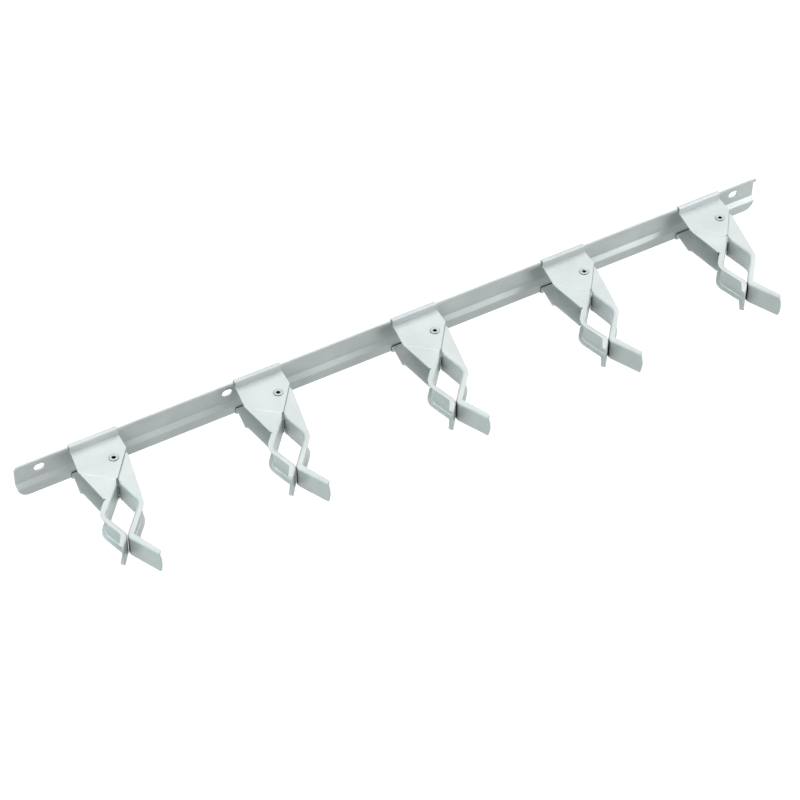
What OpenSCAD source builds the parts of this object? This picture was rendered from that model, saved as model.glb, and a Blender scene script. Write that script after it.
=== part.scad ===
// Wall rail with five sprung clips that hold brooms, rakes and other tools by their handles.
// Every clip is a pair of folded sheet steel jaws, joined by a hollow rivet with a torsion
// spring wound round it. The clips hook over both edges of the rail and can be slid along it.
// Origin: middle of the row of screw slots, on the face that touches the wall.
// X runs along the rail, -Y points out of the wall and +Z is up.

/* [Rail] */
// Overall length of the rail
rail_len = 700; // [640:1:1000]
// Overall height of the rail
rail_h = 33; // [31:0.5:36]
// Thickness of the rail's sheet
rail_t = 1.5; // [1:0.1:1.8]
// How far the two edge bands stand in front of the middle band
rail_step = 3.6; // [3.4:0.1:4.5]
// Height of the flat front of the upper edge band
top_band_h = 2.8; // [2.4:0.1:3.2]
// Height of the flat front of the lower edge band
low_band_h = 8.2; // [6:0.1:9]
// Radius on the middle of the sheet at each bend of the rail
rail_bend_r = 1.6; // [1.2:0.1:2]
// Radius of the rail's two lower corners
low_corner_r = 10; // [6:0.5:12]
// Radius of the rail's two upper corners
top_corner_r = 1.5; // [1:0.1:3]

/* [Screw slots] */
// Length of a slot from end to end
slot_len = 9; // [8:0.5:12]
// Height of a slot
slot_h = 6.5; // [4:0.1:7]
// Distance from the rail's end to the middle of the outermost slot
slot_end = 21; // [18:0.5:30]
// Distance from the rail's top edge down to the middle of the slots
slot_drop = 11.8; // [11.4:0.1:12.6]
// Number of slots, evenly spaced
slot_count = 5; // [3:2:7]

/* [Clip places] */
// Distance from the rail's left end to the first clip's rivet
first_clip = 72.5; // [68:0.5:80]
// Spacing of the clips from rivet to rivet
clip_pitch = 145; // [142:0.5:150]
// How far the last clip has been slid back towards its neighbour
last_clip_back = 7; // [0:0.5:10]

/* [Clip sheet] */
// Thickness of the jaws' sheet
clip_t = 1.2; // [1:0.05:1.4]
// Outside height over the fixed jaw's two plates
clip_h = 24; // [21:0.1:24.5]
// Gap between a fixed plate and the moving plate that laps inside it
plate_gap = 0.2; // [0.15:0.05:0.4]
// Clear gap between a hook and the rail band that it wraps
hook_gap = 0.3; // [0.2:0.05:0.4]
// How far a hook reaches down behind the rail's edge
hook_lap = 2.2; // [1.8:0.1:2.4]
// Radius on the middle of the sheet at each bend of a hook
hook_bend_r = 1; // [0.8:0.05:1.1]

/* [Fixed plate outline] */
// Distance from the rivet out to the plate's left edge
plate_left = 27; // [25:0.5:29]
// Distance from the rivet out to the plate's right edge
plate_right = 14.6; // [13:0.5:18]
// Distance from the rivet back to the front of the hook
plate_back = 21.5; // [19:0.5:24]
// Distance from the rivet back to the right corner, where the slanted edge starts
shoulder_back = 5.5; // [4:0.5:8]
// Distance from the rivet out to that right corner
shoulder_right = 13.4; // [13:0.1:14]
// Distance from the rivet out to the left end of the joggle
joggle_left = 29.8; // [28:0.1:31]
// Distance from the rivet back to the left end of the joggle
joggle_back = 0.7; // [0:0.1:2]
// Width of the sloping strip of the joggle
joggle_w = 2; // [1.6:0.1:2.4]
// Distance along the slanted edge from the crossing of the jaws back to the joggle
joggle_lead = 1.6; // [1.2:0.1:2]
// Radius of the relief hole in the left edge, where the arm starts
relief_r = 1; // [0.8:0.1:1.2]

/* [Jaws] */
// Lean of the jaws' centre line to the left of the way straight out
jaw_lean = 19; // [10:0.5:22]
// Distance along the centre line from the rivet to where the jaws cross
cross_dist = 23.6; // [22:0.1:25]
// Distance along the centre line from the rivet to where the noses touch
nose_dist = 80.9; // [76:0.1:88]
// Gap between the closed jaws
closed_gap = 0.3; // [0.2:0.05:0.5]
// Width of the fold that stiffens each arm
fold_w = 5; // [4:0.1:6]
// Width of that fold at the end of the tips
fold_end_w = 3.8; // [2.5:0.1:4.4]
// Bulge of the rounded ends of the tips
tip_bulge = 2.4; // [1.5:0.1:3]

/* [Fixed jaw] */
// Distance along the centre line to the fixed jaw's knee
left_knee_dist = 58; // [52:0.5:60]
// Angle at which the fixed jaw runs in to its nose
left_in = 33; // [28:0.5:36]
// Angle at which the fixed jaw's tip runs out
left_out = 22; // [12:0.5:24]
// Radius of the fixed jaw's knee
left_knee_r = 9; // [6:0.5:11]
// Radius of the fixed jaw's nose
left_nose_r = 7; // [5:0.5:9]
// Length of the fixed jaw's tip
left_tip = 13.6; // [11:0.1:16]
// How far the fixed jaw's fold stops short of the end of its tip
left_fold_short = 1.5; // [0.5:0.1:4]

/* [Moving jaw] */
// Distance along the centre line to the moving jaw's knee
right_knee_dist = 47.4; // [44:0.1:52]
// Angle at which the moving jaw runs in to its nose
right_in = 21.5; // [18:0.5:26]
// Angle at which the moving jaw's tip runs out
right_out = 43; // [35:0.5:48]
// Radius of the moving jaw's knee
right_knee_r = 12; // [8:0.5:14]
// Radius of the moving jaw's nose
right_nose_r = 6; // [5:0.5:8]
// Length of the moving jaw's tip
right_tip = 31; // [24:0.1:36]
// How far the moving jaw's fold stops short of the end of its tip
right_fold_short = 1.8; // [0.5:0.1:6]
// Radius of the moving plates round the rivet
hub_r = 12; // [10.5:0.1:12.5]
// Width of the moving plates at the knee
knee_w = 5.6; // [5:0.1:8]

/* [Rivet] */
// Outer diameter of the hollow rivet's shank
rivet_d = 5; // [4.4:0.1:5.4]
// Bore of the hollow rivet
rivet_bore = 3.4; // [2.8:0.1:3.6]
// Diameter of the rivet's rolled ends
rivet_head_d = 7.6; // [7:0.1:9]
// Height of the rivet's rolled ends
rivet_head_h = 0.9; // [0.7:0.05:1.2]
// Running clearance of the moving jaw on the rivet, on the radius
run_gap = 0.08; // [0.04:0.01:0.1]
// Clearance of the fixed jaw on the rivet, on the radius
seat_gap = 0.02; // [0.02:0.01:0.05]

/* [Spring] */
// Diameter of the spring wire
wire_d = 1.6; // [1.2:0.1:1.8]
// Diameter of the coil on the middle of the wire
coil_d = 10; // [9:0.1:11]
// Rise of the coil for each turn
coil_pitch = 2.4; // [2.3:0.05:2.6]
// Number of whole turns, to which half a turn is added
coil_turns = 4; // [3:1:5]
// Distance along the centre line from the rivet to the end of each leg
leg_dist = 36; // [30:1:40]
// Gap between a leg and the jaw that it presses on
leg_gap = 0.25; // [0.2:0.05:0.4]

/* [Hidden] */
clip_count = 5;
$fn = 48;
arc_steps = 7;
big = 400;
cut = 1;
coat = "#dfe6e6";
plated = "#c9cccd";
steel = "#8f9496";

// Rail levels, seen from the row of slots
rail_top = slot_drop;
rail_low = rail_top - rail_h;
rail_mid = (rail_top + rail_low) / 2;
band_front = -(rail_t + rail_step);
sheet_mid = -rail_t / 2;
band_mid = sheet_mid - rail_step;
top_ledge = rail_top - top_band_h;
low_ledge = rail_low + low_band_h;
slot_pitch = (rail_len - 2 * slot_end) / (slot_count - 1);

// Clip levels, seen from the middle of the clip's height
plate_out = clip_h / 2;
joggle_drop = clip_t + plate_gap;
arm_out = plate_out - joggle_drop;
tab_mid = band_front - hook_gap - clip_t / 2;
tab_front = tab_mid - clip_t / 2;
rivet_y = tab_front - plate_back;
hook_top = rail_h / 2 + hook_gap + clip_t / 2;
hook_back = band_front + rail_t + hook_gap + clip_t / 2;
hook_end = rail_h / 2 - hook_lap;
plate_end = plate_back + clip_t / 2 - hook_bend_r;
overlap = 0.5;

function clip_x(i) = -rail_len / 2 + first_clip + (i - 1) * clip_pitch
    - (i == clip_count ? last_clip_back : 0);

// Unit vector, and a point of the jaws' own plan turned into the rail's plan
function unit(v) = v / norm(v);
function lean(p) = [-p[0] * sin(jaw_lean) + p[1] * cos(jaw_lean),
    -p[0] * cos(jaw_lean) - p[1] * sin(jaw_lean)];
function leant(pts) = [for (p = pts) lean(p)];

// Arc that rounds corner b between a and c with radius r
function round_corner(a, b, c, r) =
    let(u = unit(a - b), v = unit(c - b), half = acos(u * v) / 2,
        centre = b + unit(u + v) * r / sin(half), side = sign(u[0] * v[1] - u[1] * v[0]),
        sweep = 180 - 2 * half, from = centre - b, start = b + u * r / tan(half) - centre)
    [for (k = [0:arc_steps]) let(t = side * -1 * sweep * k / arc_steps)
        centre + [start[0] * cos(t) + start[1] * sin(t) * -1,
            start[0] * sin(t) + start[1] * cos(t)]];

// Path through the points p, with each inner corner rounded by its radius in r
function rounded_path(p, r) = concat([p[0]],
    [for (i = [1:len(p) - 2]) each round_corner(p[i - 1], p[i], p[i + 1], r[i - 1])],
    [p[len(p) - 1]]);

// Offset of point i of a path by d to the left of its direction
function side_point(p, i, d) =
    let(last = len(p) - 1,
        before = unit(p[max(i, 1)] - p[max(i, 1) - 1]),
        after = unit(p[min(i, last - 1) + 1] - p[min(i, last - 1)]),
        n1 = [-before[1], before[0]], n2 = [-after[1], after[0]])
    p[i] + d * (n1 + n2) / (1 + n1 * n2);

// Closed outline of a strip along a path, from offset d1 to offset d2, which narrows to d3
function strip(p, d1, d2, d3, narrow_from) =
    let(n = len(p))
    concat([for (i = [0:n - 1]) side_point(p, i, d1)],
        [for (i = [n - 1:-1:0]) side_point(p, i, i < narrow_from ? d2 :
            d2 + (d3 - d2) * (i - narrow_from) / (n - 1 - narrow_from))]);

// Corner of a nose: where the straights before and after its arc would meet
function nose_corner(r, run_in, run_out) =
    [nose_dist, -(r + closed_gap / 2)] + r / cos((run_in + run_out) / 2)
    * [-sin((run_in - run_out) / 2), cos((run_in - run_out) / 2)];

// Gripping line of a jaw in its own plan: X along the centre line, Y towards the other jaw
function grip_points(knee_dist, run_in, run_out, nose_r, tip) =
    let(nose = nose_corner(nose_r, run_in, run_out),
        knee = [knee_dist, nose[1] - (nose[0] - knee_dist) * tan(run_in)])
    [[cross_dist, -closed_gap / 2], knee, nose,
        nose + tip * [cos(run_out), -sin(run_out)]];

left_pts = grip_points(left_knee_dist, left_in, left_out, left_nose_r, left_tip);
right_pts = [for (p = grip_points(right_knee_dist, right_in, right_out, right_nose_r, right_tip))
    [p[0], -p[1]]];
left_grip = rounded_path(left_pts, [left_knee_r, left_nose_r]);
right_grip = rounded_path(right_pts, [right_knee_r, right_nose_r]);
nose_end = 2 * (arc_steps + 1);

// The same line with its last straight made shorter by d, for the fold beside the tip
function shorter(grip, d) = [for (k = [0:len(grip) - 1]) k < len(grip) - 1 ? grip[k]
    : grip[k] - d * unit(grip[k] - grip[k - 1])];

// Corner where the fixed jaw's left edge meets the outer edge of its arm
left_run = unit(left_pts[1] - left_pts[0]);
left_side = [-left_run[1], left_run[0]];
notch_run = 21.5;
arm_corner = left_pts[0] + left_run * notch_run - fold_w * left_side;

// Rail sheet, seen from its end: X is Y of the rail and Y is its height
rail_line = rounded_path([[band_mid, rail_top], [band_mid, top_ledge],
    [sheet_mid, top_ledge - rail_step], [sheet_mid, low_ledge + rail_step],
    [band_mid, low_ledge], [band_mid, rail_low]],
    [rail_bend_r, rail_bend_r, rail_bend_r, rail_bend_r]);

module rail_outline() {
    half = rail_len / 2;
    difference() {
        translate([-half, rail_low]) square([rail_len, rail_h]);
        for (m = [0, 1]) mirror([m, 0]) {
            translate([half - low_corner_r, rail_low + low_corner_r]) difference() {
                translate([0, -low_corner_r - cut]) square([low_corner_r + cut, low_corner_r + cut]);
                circle(r = low_corner_r, $fn = 96);
            }
            translate([half - top_corner_r, rail_top - top_corner_r]) difference() {
                square([top_corner_r + cut, top_corner_r + cut]);
                circle(r = top_corner_r);
            }
        }
    }
}

module slot() {
    reach = (slot_len - slot_h) / 2;
    for (x = [-reach, reach])
        translate([x, cut, 0]) rotate([90, 0, 0]) cylinder(d = slot_h, h = rail_t + 2 * cut);
    translate([-reach, -rail_t - cut, -slot_h / 2]) cube([2 * reach, rail_t + 2 * cut, slot_h]);
}

module rail() {
    color(coat) difference() {
        intersection() {
            rotate([90, 0, 90]) translate([0, 0, -rail_len / 2])
                linear_extrude(rail_len) polygon(strip(rail_line, rail_t / 2, -rail_t / 2, 0, big));
            translate([0, cut, 0]) rotate([90, 0, 0]) linear_extrude(-band_front + 2 * cut)
                rail_outline();
        }
        for (k = [0:slot_count - 1])
            translate([-rail_len / 2 + slot_end + k * slot_pitch, 0, 0]) slot();
    }
}

// Outline of the fixed jaw's plate with its arm's fold, in the rail's plan from the rivet
module fixed_outline() {
    difference() {
        union() {
            polygon([[-plate_left, plate_end - cut], [-plate_left, plate_end],
                [plate_right, plate_end], [plate_right, plate_end - cut],
                [shoulder_right, shoulder_back], lean(left_pts[0]),
                lean(left_pts[0] + left_run * notch_run - fold_w / 3 * left_side), lean(arm_corner),
                [-joggle_left, joggle_back]]);
            polygon(leant(strip(shorter(left_grip, left_fold_short), 0, -fold_w, -fold_end_w,
                nose_end)));
        }
        translate(lean(arm_corner)) circle(r = relief_r);
    }
}

// Line along which the plate is joggled: X runs along it, +Y lies towards the rivet
module on_joggle() {
    from = [-joggle_left, joggle_back];
    crossing = lean(left_pts[0]);
    to = crossing + joggle_lead * unit([shoulder_right, shoulder_back] - crossing);
    translate(from) rotate(atan2(to[1] - from[1], to[0] - from[0])) children();
}

// Upper sheet of the fixed jaw: flat plate, sloping joggle and the arm's fold
module fixed_sheet() {
    intersection() {
        linear_extrude(plate_out + cut) fixed_outline();
        on_joggle() translate([-big / 2, 0, 0]) rotate([90, 0, 90]) linear_extrude(big)
            polygon([[big, plate_out], [0, plate_out], [-joggle_w, arm_out], [-big, arm_out],
                [-big, arm_out - clip_t], [-joggle_w, arm_out - clip_t],
                [0, plate_out - clip_t], [big, plate_out - clip_t]]);
    }
}

// Hook over the rail's edge, seen from its end, from the plate's back part to behind the rail
module hook() {
    line = rounded_path([[rivet_y + plate_end - overlap, plate_out - clip_t / 2],
        [tab_mid, plate_out - clip_t / 2], [tab_mid, hook_top], [hook_back, hook_top],
        [hook_back, hook_end]], [hook_bend_r, hook_bend_r, hook_bend_r]);
    translate([-plate_left, -rivet_y, 0]) rotate([90, 0, 90])
        linear_extrude(plate_left + plate_right)
            polygon(strip(line, clip_t / 2, -clip_t / 2, 0, big));
}

// Web along a gripping line, on side -1 or 1 of it, with the end of its tip rounded
module web(grip, side) {
    from = lean(grip[nose_end - 1]);
    to = lean(grip[len(grip) - 1]);
    run = norm(to - from);
    end_r = (arm_out * arm_out + tip_bulge * tip_bulge) / (2 * tip_bulge);
    difference() {
        translate([0, 0, -arm_out]) linear_extrude(2 * arm_out)
            polygon(leant(strip(shorter(grip, -tip_bulge - cut), 0, side * clip_t, 0, big)));
        translate([from[0], from[1], 0]) rotate(atan2(to[1] - from[1], to[0] - from[0]))
            difference() {
                translate([run - tip_bulge, -2 * clip_t, -arm_out - cut])
                    cube([3 * tip_bulge + cut, 4 * clip_t, 2 * (arm_out + cut)]);
                translate([run + tip_bulge - end_r, 3 * clip_t, 0]) rotate([90, 0, 0])
                    cylinder(r = end_r, h = 6 * clip_t, $fn = 96);
            }
    }
}

module fixed_jaw() {
    color(coat) difference() {
        union() {
            for (m = [0, 1]) mirror([0, 0, m]) {
                fixed_sheet();
                hook();
            }
            web(left_grip, -1);
        }
        cylinder(d = rivet_d + 2 * seat_gap, h = clip_h + 2 * cut, center = true);
    }
}

// Outline of the moving jaw's plate with its arm's fold, in the rail's plan from the rivet
nip_back = 3;
nip_side = 1.4;

module moving_outline() {
    outer = side_point(right_grip, 2, knee_w);
    tangent = acos(hub_r / norm(outer)) + atan2(outer[1], outer[0]);
    nip = [cross_dist - nip_back, closed_gap / 2];
    nip_tangent = atan2(nip[1], nip[0]) - acos(hub_r / norm(nip));
    circle(r = hub_r);
    polygon(leant(concat([hub_r * [cos(tangent), sin(tangent)], outer],
        [for (k = [arc_steps + 1:-1:0]) right_grip[k]],
        [[cross_dist - nip_back, nip_side], nip,
        hub_r * [cos(nip_tangent), sin(nip_tangent)], [0, 0]])));
    polygon(leant(strip(shorter(right_grip, right_fold_short), 0, fold_w, fold_end_w,
        nose_end)));
}

module moving_jaw() {
    color(coat) difference() {
        union() {
            for (m = [0, 1]) mirror([0, 0, m])
                translate([0, 0, arm_out - clip_t]) linear_extrude(clip_t) moving_outline();
            web(right_grip, 1);
        }
        cylinder(d = rivet_d + 2 * run_gap, h = clip_h + 2 * cut, center = true);
    }
}

module pivot_rivet() {
    r = rivet_d / 2;
    bore = rivet_bore / 2;
    head = rivet_head_d / 2;
    lip = rivet_head_h / 2;
    top = plate_out + rivet_head_h;
    half = [[bore, top - lip], [bore + lip, top], [head - lip, top], [head, top - lip],
        [head, plate_out], [r, plate_out]];
    color(plated) rotate_extrude()
        polygon(concat(half, [for (k = [5:-1:0]) [half[k][0], -half[k][1]]]));
}

// Middle line of the spring wire in the jaws' own plan
coil_r = coil_d / 2;
coil_h = (coil_turns + 0.5) * coil_pitch;
turn_steps = 8;
left_back = side_at(left_pts[0], left_pts[1], leg_dist + 1) - leg_reach(left_pts);
right_back = side_at(right_pts[0], right_pts[1], leg_dist + 1) + leg_reach(right_pts);
function side_at(a, b, x) = a[1] + (b[1] - a[1]) * (x - a[0]) / (b[0] - a[0]);
function leg_reach(p) =
    (clip_t + leg_gap + wire_d / 2) / cos(atan2(p[1][1] - p[0][1], p[1][0] - p[0][0]));
coil_steps = turn_steps * coil_turns + turn_steps / 2;
spring_line = concat(
    [[leg_dist, left_back, -coil_h / 2], [leg_dist / 2, (left_back - coil_r) / 2, -coil_h / 2]],
    [for (k = [0:coil_steps]) let(a = -90 - 360 * k / turn_steps)
        [coil_r * cos(a), coil_r * sin(a), -coil_h / 2 + coil_h * k / coil_steps]],
    [[leg_dist / 2, (right_back + coil_r) / 2, coil_h / 2], [leg_dist, right_back, coil_h / 2]]);

// Least gap between points of the wire that are more than half a turn apart along it
spring_gap = min([for (i = [0:len(spring_line) - 1])
    for (j = [i + 5:1:len(spring_line) - 1]) norm(spring_line[i] - spring_line[j])]) - wire_d;
echo(spring_gap = spring_gap);

// Ring of six points round point i of a wire
function wire_ring(p, i) =
    let(last = len(p) - 1, along = unit(p[min(i + 1, last)] - p[max(i - 1, 0)]),
        out = unit(cross([0, 0, 1], along)), up = cross(along, out))
    [for (k = [0:5]) p[i] + wire_d / 2 * (out * cos(60 * k) + up * sin(60 * k))];

module torsion_spring() {
    rings = len(spring_line);
    pts = [for (i = [0:rings - 1]) each wire_ring(spring_line, i)];
    sides = [for (i = [0:rings - 2]) for (k = [0:5])
        let(a = 6 * i + k, b = 6 * i + (k + 1) % 6) each [[a, b, a + 6], [b, b + 6, a + 6]]];
    ends = [for (k = [1:4]) each [[0, k + 1, k],
        [6 * rings - 6, 6 * rings - 6 + k, 6 * rings - 6 + k + 1]]];
    color(steel) rotate(-90 - jaw_lean)
        polyhedron(points = pts, faces = [for (f = concat(sides, ends)) [f[2], f[1], f[0]]]);
}

// A clip's piece, carried to its place on the rail
module at_clip(i) {
    translate([clip_x(i), rivet_y, rail_mid]) children();
}

rail();
for (i = [1:clip_count]) {
    at_clip(i) fixed_jaw();
    at_clip(i) moving_jaw();
    at_clip(i) pivot_rivet();
    at_clip(i) torsion_spring();
}
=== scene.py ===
from math import cos, pi, radians, sin

import bmesh
import bpy
from mathutils import Matrix, Vector


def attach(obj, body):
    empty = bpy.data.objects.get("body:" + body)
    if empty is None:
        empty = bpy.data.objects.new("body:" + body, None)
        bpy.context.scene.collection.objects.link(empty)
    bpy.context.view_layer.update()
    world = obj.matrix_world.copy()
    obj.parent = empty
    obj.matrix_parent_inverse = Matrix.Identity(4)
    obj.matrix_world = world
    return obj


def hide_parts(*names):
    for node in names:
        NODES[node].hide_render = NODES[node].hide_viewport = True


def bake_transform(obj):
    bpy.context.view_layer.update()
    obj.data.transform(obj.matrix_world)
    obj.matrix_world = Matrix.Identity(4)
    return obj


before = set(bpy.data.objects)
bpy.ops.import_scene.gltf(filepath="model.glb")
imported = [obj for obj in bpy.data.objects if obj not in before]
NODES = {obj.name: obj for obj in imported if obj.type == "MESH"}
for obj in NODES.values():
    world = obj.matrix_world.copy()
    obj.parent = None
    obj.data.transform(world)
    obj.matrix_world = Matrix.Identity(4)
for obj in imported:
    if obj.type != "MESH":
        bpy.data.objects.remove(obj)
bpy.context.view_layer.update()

MM = 0.001

# A clip's measures in millimetres, as in the CAD source
RIVET_X = (-277.5, -132.5, 12.5, 157.5, 295.5)
RIVET_Y, MIDDLE_Z = -28.1, -4.7
LEAN = radians(19)  # of each clip's centre line to the left
PLATE_OUT, ARM_OUT, SHEET = 12, 10.6, 1.2  # outer faces above the clip's middle, sheet thickness
CLIPS = range(1, 6)

# Bends and edges that only the dressed pieces have, in millimetres
OUTER_BEND, INNER_BEND = 2.3, 1.1
CREASE_BEND, CUT_EDGE = 0.3, 0.25
TIP_BULGE, TIP_CORNER = 2.4, 1.5

# The photograph, in pixels
PHOTO_WIDTH, FOCAL_LENGTH = 800, 2748


def mm(*values):
    return Vector(values) * MM


def plan(along, across, up=0):
    """A place on the first clip: along its jaws' centre line from the rivet, across it, and up."""
    x = RIVET_X[0] - along * sin(LEAN) + across * cos(LEAN)
    return mm(x, RIVET_Y - along * cos(LEAN) - across * sin(LEAN), MIDDLE_Z + up)


def heading(angle):
    """Level direction at an angle to the centre line, turned towards the moving jaw."""
    turn = radians(angle) - LEAN
    return Vector((sin(turn), -cos(turn), 0))


# ---------------------------------------------------------------- camera
def look():
    """The photograph's view: a long lens, high above the rack and to its left."""
    data = bpy.data.cameras.new("photo_camera")
    data.sensor_width = 36
    data.lens = FOCAL_LENGTH / PHOTO_WIDTH * data.sensor_width
    data.clip_end = 20
    camera = bpy.data.objects.new("photo_camera", data)
    bpy.context.scene.collection.objects.link(camera)
    down, aim, roll = radians(44.15), radians(30.93), radians(0.65)
    ahead = Vector((sin(aim) * cos(down), cos(aim) * cos(down), -sin(down)))
    right = ahead.cross(Vector((0, 0, 1))).normalized()
    up = right.cross(ahead)
    turn = Matrix((right, up, -ahead)).transposed().to_4x4()
    camera.matrix_world = (
        Matrix.Translation(mm(-855.4, -1422.7, 1522.7)) @ turn @ Matrix.Rotation(roll, 4, "Z")
    )
    bpy.context.scene.camera = camera


look()
bpy.context.scene.view_settings.view_transform = "Standard"


# ------------------------------------------------------------- materials
def linear(hex_colour):
    """An sRGB hex colour as linear values."""
    parts = [int(hex_colour[i : i + 2], 16) / 255 for i in (1, 3, 5)]
    return [c / 12.92 if c <= 0.04045 else ((c + 0.055) / 1.055) ** 2.4 for c in parts] + [1]


def add(tree, kind, links=(), **settings):
    """One node with its settings, its socket values and the links into it."""
    node = tree.nodes.new(kind)
    for key, value in settings.items():
        if hasattr(node, key):
            setattr(node, key, value)
        else:
            node.inputs[key.replace("_", " ")].default_value = value
    for target, source in dict(links).items():
        tree.links.new(source, node.inputs[target])
    return node


def new_material(name):
    """A material with its tree, its shader and the object coordinates that its patterns lie on."""
    material = bpy.data.materials.new(name)
    material.use_nodes = True
    tree = material.node_tree
    place = add(tree, "ShaderNodeTexCoord").outputs["Object"]
    return material, tree, tree.nodes["Principled BSDF"], place


def ramp(tree, source, stops):
    """Colours between two stops, by a value."""
    node = add(tree, "ShaderNodeValToRGB", {"Fac": source})
    for stop, (position, colour) in zip(node.color_ramp.elements, stops):
        stop.position, stop.color = position, linear(colour)
    return node.outputs["Color"]


# How far the painted seam shade reaches in metres, and how open a place is where that shade is full and
# where it ends
LINE, DEEP = (0.0016, 0.35, 0.8), (0.006, 0.1, 0.42)


def seams(tree, colour, shader, *kinds):
    """Colours a shader with painted shade where parts meet: dark lines at seams and dark deep corners,
    darker the more closed in a place is.
    """
    for reach, start, end in kinds:
        near = add(tree, "ShaderNodeAmbientOcclusion", samples=12, Distance=reach)
        # Painted shade: the colour goes towards dark grey where the occlusion node finds other surfaces
        # close
        seam_shade = ramp(tree, near.outputs["AO"], ((start, "#2a3230"), (end, "#ffffff")))
        both = add(tree, "ShaderNodeVectorMath", {0: colour, 1: seam_shade}, operation="MULTIPLY")
        colour = both.outputs["Vector"]
    tree.links.new(colour, shader.inputs["Base Color"])


def zinc_sheet():
    """Rolled sheet steel, zinc plated and passivated: mostly matt under its dull film, with a soft
    sheen, pale grey with a breath of blue-green, faintly clouded, with fine rolling lines."""
    material, tree, shader, place = new_material("passivated_zinc_on_rolled_sheet")
    # Clouds left by the bath, about 30 mm across
    cloud = add(tree, "ShaderNodeTexNoise", {"Vector": place}, Scale=33, Detail=4, Roughness=0.55)
    tint = ramp(tree, cloud.outputs["Fac"], ((0.3, "#c1c7c8"), (0.7, "#cdd3d4")))
    # Painted shade: the sheet's colour is darkened at seams and in deep corners
    seams(tree, tint, shader, LINE, DEEP)
    # Rolling lines 0.8 mm apart, drawn out to 40 mm
    drawn = add(tree, "ShaderNodeMapping", {"Vector": place})
    drawn.inputs["Scale"].default_value = (25, 1250, 1250)
    lines = add(tree, "ShaderNodeTexNoise", {"Vector": drawn.outputs["Vector"]}, Scale=1, Detail=2)
    gloss = add(tree, "ShaderNodeMapRange", {"Value": lines.outputs["Fac"]}, To_Min=0.33, To_Max=0.43)
    tree.links.new(gloss.outputs["Result"], shader.inputs["Roughness"])
    # Slow ripple of pressed sheet, about 20 mm long, and the plating's grain of 0.5 mm
    ripple = add(tree, "ShaderNodeTexNoise", {"Vector": place}, Scale=50, Detail=1, Roughness=0.5)
    grain = add(tree, "ShaderNodeTexNoise", {"Vector": place}, Scale=2000, Detail=2, Roughness=0.5)
    wave = add(tree, "ShaderNodeBump", {"Height": ripple.outputs["Fac"]}, Strength=0.2, Distance=0.0006)
    skin = add(
        tree, "ShaderNodeBump", {"Height": grain.outputs["Fac"], "Normal": wave.outputs["Normal"]},
        Strength=0.1, Distance=0.00003,
    )
    tree.links.new(skin.outputs["Normal"], shader.inputs["Normal"])
    shader.inputs["Metallic"].default_value = 0.2
    return material


def rivet_plate():
    """Bright zinc on a turned and rolled rivet: a mirror greyed and a little brushed by the tool."""
    material, tree, shader, place = new_material("bright_zinc_on_rolled_rivet")
    grain = add(tree, "ShaderNodeTexNoise", {"Vector": place}, Scale=900, Detail=3, Roughness=0.6)
    gloss = add(tree, "ShaderNodeMapRange", {"Value": grain.outputs["Fac"]}, To_Min=0.16, To_Max=0.3)
    tree.links.new(gloss.outputs["Result"], shader.inputs["Roughness"])
    tint = ramp(tree, grain.outputs["Fac"], ((0.3, "#8a8e8f"), (0.7, "#a4a8a9")))
    # Painted shade: the rivet's colour is darkened in the seams round its lips
    seams(tree, tint, shader, LINE)
    bump = add(tree, "ShaderNodeBump", {"Height": grain.outputs["Fac"]}, Strength=0.1, Distance=0.00004)
    tree.links.new(bump.outputs["Normal"], shader.inputs["Normal"])
    shader.inputs["Metallic"].default_value = 1
    return material


def spring_wire():
    """Drawn and oil-tempered spring wire: dark grey, with a soft shine and fine die marks."""
    material, tree, shader, place = new_material("oil_tempered_spring_wire")
    grain = add(tree, "ShaderNodeTexNoise", {"Vector": place}, Scale=1500, Detail=3, Roughness=0.6)
    gloss = add(tree, "ShaderNodeMapRange", {"Value": grain.outputs["Fac"]}, To_Min=0.28, To_Max=0.45)
    tree.links.new(gloss.outputs["Result"], shader.inputs["Roughness"])
    tint = ramp(tree, grain.outputs["Fac"], ((0.3, "#5f6264"), (0.7, "#7a7d7f")))
    tree.links.new(tint, shader.inputs["Base Color"])
    bump = add(tree, "ShaderNodeBump", {"Height": grain.outputs["Fac"]}, Strength=0.12, Distance=0.00003)
    tree.links.new(bump.outputs["Normal"], shader.inputs["Normal"])
    shader.inputs["Metallic"].default_value = 1
    return material


ZINC = zinc_sheet()
RIVET = rivet_plate()
WIRE = spring_wire()


# ---------------------------------------------------------------- making
def choose(piece):
    """Leaves edit mode and selects one piece alone, or nothing."""
    if bpy.context.object and bpy.context.object.mode != "OBJECT":
        bpy.ops.object.mode_set(mode="OBJECT")
    bpy.ops.object.select_all(action="DESELECT")
    if piece:
        piece.select_set(True)
        bpy.context.view_layer.objects.active = piece


def pick(piece, kind, wanted):
    """Selects, in edit mode, the faces or edges that pass a test."""
    choose(piece)
    bpy.ops.object.mode_set(mode="EDIT")
    bpy.ops.mesh.select_mode(type=kind)
    bpy.ops.mesh.select_all(action="DESELECT")
    mesh = bmesh.from_edit_mesh(piece.data)
    chosen = [part for part in (mesh.faces if kind == "FACE" else mesh.edges) if wanted(part)]
    for part in chosen:
        part.select_set(True)
    mesh.select_flush_mode()
    bmesh.update_edit_mesh(piece.data)
    return len(chosen)


def cut(piece, at, normal, away=False):
    """Cuts all of a piece along a plane, and takes away what lies in front of it."""
    pick(piece, "FACE", lambda face: True)
    bpy.ops.mesh.bisect(
        plane_co=at, plane_no=normal, use_fill=away, clear_outer=away, threshold=0.000001
    )


def round_over(radius, steps):
    """Rounds the selected edges."""
    bpy.ops.mesh.bevel(
        offset=radius * MM, offset_type="OFFSET", segments=steps, affect="EDGES", clamp_overlap=False
    )


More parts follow.
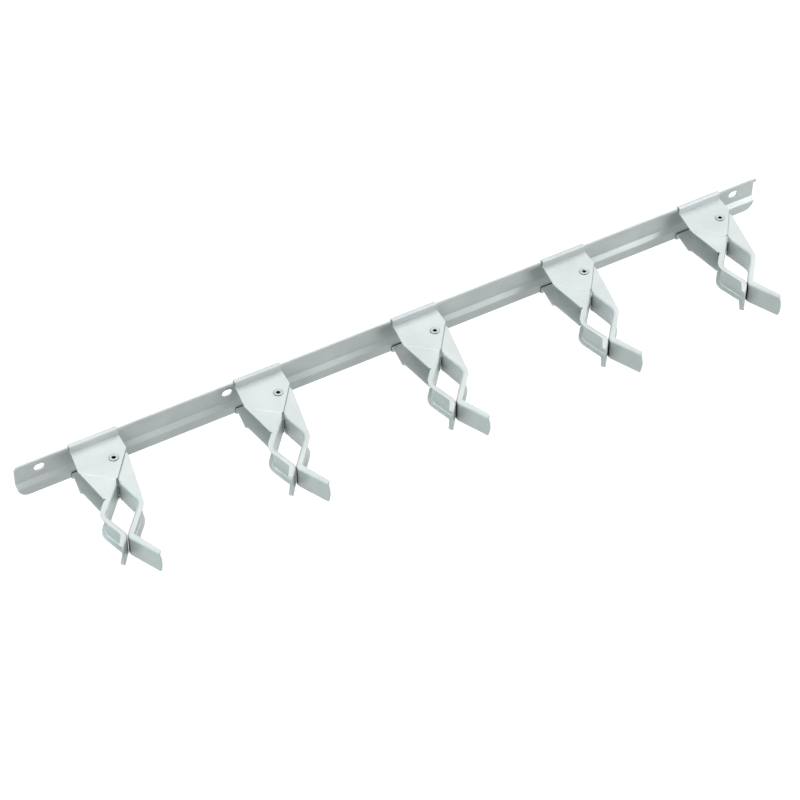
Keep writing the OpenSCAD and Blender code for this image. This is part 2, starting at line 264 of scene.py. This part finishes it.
def copy_of(node, name):
    """A merged copy of a CAD node, with its flat faces made whole."""
    piece = bpy.data.objects.new(name, NODES[node].data.copy())
    bpy.context.scene.collection.objects.link(piece)
    choose(piece)
    bpy.ops.object.mode_set(mode="EDIT")
    bpy.ops.mesh.select_all(action="SELECT")
    bpy.ops.mesh.remove_doubles(threshold=0.000005)
    bpy.ops.mesh.dissolve_limited(angle_limit=radians(0.5))
    bpy.ops.object.mode_set(mode="OBJECT")
    return piece


def soften(piece, edge, steps=2, angle=32):
    """Takes the sharpness off the cut edges and shades the bends smooth."""
    choose(piece)
    soft = piece.modifiers.new("cut_edges", "BEVEL")
    soft.width = edge * MM
    soft.segments = steps
    soft.limit_method = "ANGLE"
    soft.angle_limit = radians(50)
    soft.use_clamp_overlap = False
    bpy.ops.object.modifier_apply(modifier=soft.name)
    smooth(piece, angle)


def smooth(piece, angle):
    """Shades the bends smooth and keeps the large faces flat."""
    choose(piece)
    bpy.ops.object.shade_smooth_by_angle(angle=radians(angle))
    flat = piece.modifiers.new("flat_faces", "WEIGHTED_NORMAL")
    flat.keep_sharp = True
    flat.weight = 100
    bpy.ops.object.modifier_apply(modifier=flat.name)


def coat(piece, material):
    """Gives a piece one material all over."""
    piece.data.materials.clear()
    piece.data.materials.append(material)


def on_each_clip(piece, node, body):
    """Copies a finished piece of the first clip to the other four, each with its own mesh. Without a
    body of its own it is a spring, whose lower end rides on the clip and upper end on the jaw."""
    for clip in CLIPS:
        other = piece
        if clip > 1:
            other = bpy.data.objects.new(piece.name[:-1] + str(clip), piece.data.copy())
            other.data.transform(Matrix.Translation(mm(RIVET_X[clip - 1] - RIVET_X[0], 0, 0)))
            bpy.context.scene.collection.objects.link(other)
        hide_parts(f"{node}_{clip}")
        if body:
            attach(other, f"{body}_{clip}")
        else:
            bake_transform(other)


# ------------------------------------------------------------------ jaws
def along(point):
    """How far a point of the first clip is along the centre line, in millimetres."""
    return (point - plan(0, 0)).dot(heading(0)) / MM


def level(point):
    """Height of a point above or below the middle of the clip, in millimetres."""
    return abs(point.z / MM - MIDDLE_Z)


def fold_edges(side, start, at_level):
    """Test for the edges where an arm's web turns into its folds, on the outside or the inside."""
    outside = at_level > ARM_OUT - 0.1
    grip = heading(90) * side

    def test(edge):
        ends = [vertex.co for vertex in edge.verts]
        if len(edge.link_faces) != 2 or any(abs(level(p) - at_level) > 0.02 for p in ends):
            return False
        if any(along(p) < start - 0.01 for p in ends):
            return False
        fold, web = sorted(edge.link_faces, key=lambda face: -abs(face.normal.z))
        if abs(fold.normal.z) < 0.99 or abs(web.normal.z) > 0.01:
            return False
        facing = web.normal.dot(grip)
        return facing > 0.4 if outside else facing < -0.4 and level(web.calc_center_median()) < 5

    return test


def shape_arm(piece, side, start, end, angle):
    """Rounds an arm's folds along its whole length and finishes its tip."""
    ahead = heading(angle)
    outward = heading(angle - 90 * side)
    cut(piece, plan(start, 0), heading(0))
    # The tip is cut back to a square end and drawn out again, past where its curve will lie
    cut_back, draw_out, tip_reach = 3 * MM, 6 * MM, 12 * MM
    cut(piece, end - ahead * cut_back, ahead, away=True)
    pick(piece, "FACE", lambda face: face.normal.dot(ahead) > 0.999
         and (face.calc_center_median() - end).length < tip_reach)
    bpy.ops.mesh.extrude_region_move(TRANSFORM_OT_translate={"value": ahead * draw_out})
    pick(piece, "EDGE", fold_edges(side, start, ARM_OUT))
    round_over(OUTER_BEND, 5)
    pick(piece, "EDGE", fold_edges(side, start, ARM_OUT - SHEET))
    round_over(INNER_BEND, 4)
    # The tip's end is one broad curve from fold to fold
    bulge = TIP_BULGE * MM
    curve = ((ARM_OUT * MM) ** 2 + bulge**2) / (2 * bulge)
    for tilt in range(-28, 29, 7):
        lean = ahead * cos(radians(tilt)) + Vector((0, 0, sin(radians(tilt))))
        cut(piece, end + ahead * (bulge - curve) + lean * curve, lean, away=True)

    def free_corner(edge):
        """Test for the corners where the tip's end meets the free edges of its folds."""
        if len(edge.link_faces) != 2 or (edge.verts[0].co - end).length > 14 * MM:
            return False
        one, two = (face.normal for face in edge.link_faces)
        pairs = ((one, two), (two, one))
        return any(a.dot(outward) > 0.95 and b.dot(ahead) > 0.6 for a, b in pairs) and all(
            level(vertex.co) > ARM_OUT - SHEET - 0.3 for vertex in edge.verts
        )

    pick(piece, "EDGE", free_corner)
    round_over(TIP_CORNER, 4)


def relieve(piece):
    """Stamps the long relief hole at the crossing, where the folds of both arms begin."""
    radius, length, depth = 1.3, 5, 8
    crossing, height = 24.3, 9
    for side in (-1, 1):
        place = plan(crossing, 0, side * height)
        choose(None)
        bpy.ops.mesh.primitive_cylinder_add(
            vertices=24, radius=radius * MM, depth=depth * MM, location=place
        )
        punch = bpy.context.object
        bpy.ops.object.transform_apply(location=True, rotation=True, scale=True)
        pick(punch, "FACE", lambda face: True)
        bpy.ops.transform.resize(
            value=(1, length / 2 / radius, 1), center_override=place, orient_type="GLOBAL"
        )
        bpy.ops.transform.rotate(
            value=LEAN, orient_axis="Z", orient_type="GLOBAL", center_override=place
        )
        choose(piece)
        hole = piece.modifiers.new("relief", "BOOLEAN")
        hole.operation = "DIFFERENCE"
        hole.object = punch
        bpy.ops.object.modifier_apply(modifier=hole.name)
        bpy.data.objects.remove(punch)
    smooth(piece, 32)


def fixed_jaw():
    """The jaw that hooks over the rail: joggled plates, rounded folds and a short tip."""
    piece = copy_of("fixed_jaw_1", "hooked_jaw_1")
    shape_arm(piece, side=1, start=26.5, end=plan(92.7533, -4.3893), angle=-22)

    def crease(edge):
        """Test for the long edges between a flat plate and the joggle's slope."""
        if len(edge.link_faces) != 2:
            return False
        flat, slope = sorted((abs(face.normal.z) for face in edge.link_faces), reverse=True)
        return flat > 0.999 and 0.3 < slope < 0.95 and edge.calc_length() > 10 * MM

    # The joggle is pressed steeper than in the solid: its creases move away from the rivet, the one
    # on the plates further than the one on the arm
    to_rivet = Vector((0.687, 0.7266, 0))
    for outer, away in ((ARM_OUT, 0.2), (PLATE_OUT, 1.2)):
        pick(piece, "EDGE", lambda edge: crease(edge) and any(
            abs(level(edge.verts[0].co) - height) < 0.02 for height in (outer, outer - SHEET)))
        bpy.ops.transform.translate(value=to_rivet * -away * MM)
    pick(piece, "EDGE", crease)
    round_over(CREASE_BEND, 3)
    soften(piece, CUT_EDGE)
    relieve(piece)
    coat(piece, ZINC)
    on_each_clip(piece, "fixed_jaw", "clip")


def moving_jaw():
    """The jaw that swings: plates round the rivet, rounded folds and a long tip that leads in."""
    piece = copy_of("moving_jaw_1", "swinging_jaw_1")
    shape_arm(piece, side=-1, start=26, end=plan(104.895, 20.322), angle=43)
    soften(piece, CUT_EDGE)
    relieve(piece)
    coat(piece, ZINC)
    on_each_clip(piece, "moving_jaw", "jaw")


# --------------------------------------------------------- rivet, spring
def rolled_rivet():
    """Hollow rivet: a tube whose two ends are rolled over into round lips."""
    head, shank, bore, lip = 3.8, 2.5, 1.5, 0.9
    top = PLATE_OUT + lip
    choose(None)
    bpy.ops.mesh.primitive_cylinder_add(
        vertices=48, radius=head * MM, depth=2 * top * MM, location=plan(0, 0)
    )
    piece = bpy.context.object
    piece.name = "rolled_rivet_1"
    bpy.ops.object.transform_apply(location=True, rotation=True, scale=True)
    for side in (-1, 1):
        cut(piece, plan(0, 0, side * PLATE_OUT), Vector((0, 0, 1)))
    # The shank between the lips is drawn in to its own size
    pick(piece, "FACE", lambda face: level(face.calc_center_median()) < 1)
    bpy.ops.mesh.extrude_region_move()
    bpy.ops.transform.resize(
        value=(shank / head, shank / head, 1), center_override=plan(0, 0), orient_type="GLOBAL"
    )
    pick(piece, "FACE", lambda face: abs(face.normal.z) > 0.99 and len(face.verts) > 40)
    bpy.ops.mesh.inset(thickness=(head - bore) * MM)
    bpy.ops.mesh.bridge_edge_loops()

    def ring(edge, radius, height):
        """Test for an edge of a circle round the rivet's axis."""
        spots = [vertex.co - plan(0, 0) for vertex in edge.verts]
        return all(
            abs(abs(spot.z) - height * MM) < 0.01 * MM and abs(spot.xy.length - radius * MM) < 0.01 * MM
            for spot in spots
        )

    pick(piece, "EDGE", lambda edge: ring(edge, bore, top))
    round_over(0.8, 6)
    pick(piece, "EDGE", lambda edge: ring(edge, head, top) or ring(edge, head, PLATE_OUT))
    round_over(0.44, 5)
    smooth(piece, 40)
    coat(piece, RIVET)
    on_each_clip(piece, "pivot_rivet", "clip")


def wound_spring():
    """Torsion spring: round wire wound four and a half turns, with a leg to each jaw."""
    wire, coil, rise, turns, steps = 0.8, 5.0, 2.4, 4.5, 108
    leg_end = 36
    low = -turns * rise / 2
    choose(None)
    bpy.ops.mesh.primitive_circle_add(
        vertices=12, radius=wire * MM, location=plan(0, -coil, low),
        rotation=heading(0).to_track_quat("Z", "Y").to_euler(),
    )
    piece = bpy.context.object
    piece.name = "wound_spring_1"
    bpy.ops.object.transform_apply(location=True, rotation=True, scale=True)
    bpy.context.scene.cursor.location = plan(0, 0)
    bpy.ops.object.origin_set(type="ORIGIN_CURSOR")
    winding = piece.modifiers.new("winding", "SCREW")
    winding.axis = "Z"
    winding.angle = -2 * pi * turns
    winding.screw_offset = turns * rise * MM
    winding.steps = winding.render_steps = steps
    bpy.ops.object.modifier_apply(modifier=winding.name)
    bpy.ops.object.transform_apply(location=True, rotation=True, scale=True)
    for side, reach in ((-1, -7.836), (1, 9.879)):
        start, end = plan(0, side * coil, -side * low), plan(leg_end, reach, -side * low)

        def open_end(edge):
            """Test for the ring of wire where the winding ends."""
            return edge.is_boundary and (edge.verts[0].co - start).length < 1.2 * wire * MM

        pick(piece, "EDGE", open_end)
        bpy.ops.mesh.extrude_region_move(TRANSFORM_OT_translate={"value": end - start})
        bpy.ops.mesh.edge_face_add()
    pick(piece, "FACE", lambda face: True)
    bpy.ops.mesh.normals_make_consistent(inside=False)
    smooth(piece, 50)
    coat(piece, WIRE)
    on_each_clip(piece, "torsion_spring", None)


# ------------------------------------------------------------------ rail
def folded_rail():
    """The rail, as in the solid, with its cut edges softened."""
    piece = copy_of("rail", "folded_rail")
    soften(piece, CUT_EDGE)
    coat(piece, ZINC)
    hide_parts("rail")
    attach(piece, "rail")


fixed_jaw()
moving_jaw()
rolled_rivet()
wound_spring()
folded_rail()


# ----------------------------------------------------------------- stage
def seen_white(tree, surface, strength):
    """Adds white to a surface or to the world, for what the camera, metal and glass see of it."""
    rays = add(tree, "ShaderNodeLightPath").outputs
    through = add(
        tree, "ShaderNodeMath", {0: rays["Is Glossy Ray"], 1: rays["Is Transmission Ray"]},
        operation="MAXIMUM",
    )
    seen = add(
        tree, "ShaderNodeMath", {0: rays["Is Camera Ray"], 1: through.outputs[0]}, operation="MAXIMUM"
    )
    white = add(tree, "ShaderNodeEmission", Color=(1, 1, 1, 1), Strength=strength)
    both = add(tree, "ShaderNodeAddShader")
    tree.links.new(surface, both.inputs[0])
    tree.links.new(white.outputs[0], both.inputs[1])
    mix = add(tree, "ShaderNodeMixShader", {"Fac": seen.outputs[0]})
    tree.links.new(surface, mix.inputs[1])
    tree.links.new(both.outputs[0], mix.inputs[2])
    return mix.outputs[0]


def softbox(name, place, aim, size, power, colour="#ffffff"):
    """A square lamp, with its place, aim and size in metres and its power in watts."""
    lamp = bpy.data.lights.new(name, "AREA")
    lamp.size = size
    lamp.energy = power
    lamp.color = linear(colour)[:3]
    item = bpy.data.objects.new(name, lamp)
    bpy.context.scene.collection.objects.link(item)
    item.location = place
    item.rotation_euler = (Vector(aim) - Vector(place)).to_track_quat("-Z", "Y").to_euler()


def stage():
    """Seamless white paper below the rack, one large softbox above and smaller ones round it."""
    choose(None)
    bpy.ops.mesh.primitive_plane_add(size=12, location=(0, 0, -0.6))
    floor = bpy.context.object
    floor.name = "studio_floor"
    paper = bpy.data.materials.new("white_paper")
    paper.use_nodes = True
    tree = paper.node_tree
    tree.nodes.clear()
    matt = add(tree, "ShaderNodeBsdfDiffuse", Color=linear("#9aa09e"))
    faint = add(tree, "ShaderNodeEmission", Color=(1, 1, 1, 1), Strength=0.05)
    sheet = add(tree, "ShaderNodeAddShader")
    tree.links.new(matt.outputs[0], sheet.inputs[0])
    tree.links.new(faint.outputs[0], sheet.inputs[1])
    out = add(tree, "ShaderNodeOutputMaterial")
    tree.links.new(seen_white(tree, sheet.outputs[0], 0.8), out.inputs["Surface"])
    floor.data.materials.append(paper)

    world = bpy.data.worlds.new("studio")
    bpy.context.scene.world = world
    world.use_nodes = True
    tree = world.node_tree
    room = tree.nodes["Background"]
    room.inputs["Color"].default_value = linear("#e2fff3")
    room.inputs["Strength"].default_value = 0.02
    tree.links.new(
        seen_white(tree, room.outputs[0], 1), tree.nodes["World Output"].inputs["Surface"]
    )
    softbox("above", (0.6, 1.0, 2.2), (0.6, 1.0, 0), 4, 62, "#fffbfc")
    softbox("above_left", (-0.9, 0.8, 2.0), (-0.1, 0, 0), 0.8, 4, "#fff6f8")
    softbox("left", (-1.8, 0.3, 0.7), (-0.2, 0, 0), 1.4, 11, "#c8fff3")
    softbox("front_left", (-1.1, -0.87, 0.76), (0, 0, 0), 1.0, 9.5, "#fff8f8")
    softbox("right", (1.7, -0.4, 0.5), (0.2, 0, 0), 1.4, 10, "#f2fff6")
    softbox("near_right", (1.0, -0.7, 0.5), (0.4, 0, 0), 0.7, 5.5)
    softbox("low_front", (0.2, -1.6, 0.3), (0.1, 0, 0), 1.6, 1.5, "#e6fff6")


stage()

for name, node in NODES.items():
    node.data.materials.clear()
    node.data.materials.append(
        RIVET if name.startswith("pivot") else WIRE if name.startswith("torsion") else ZINC
    )
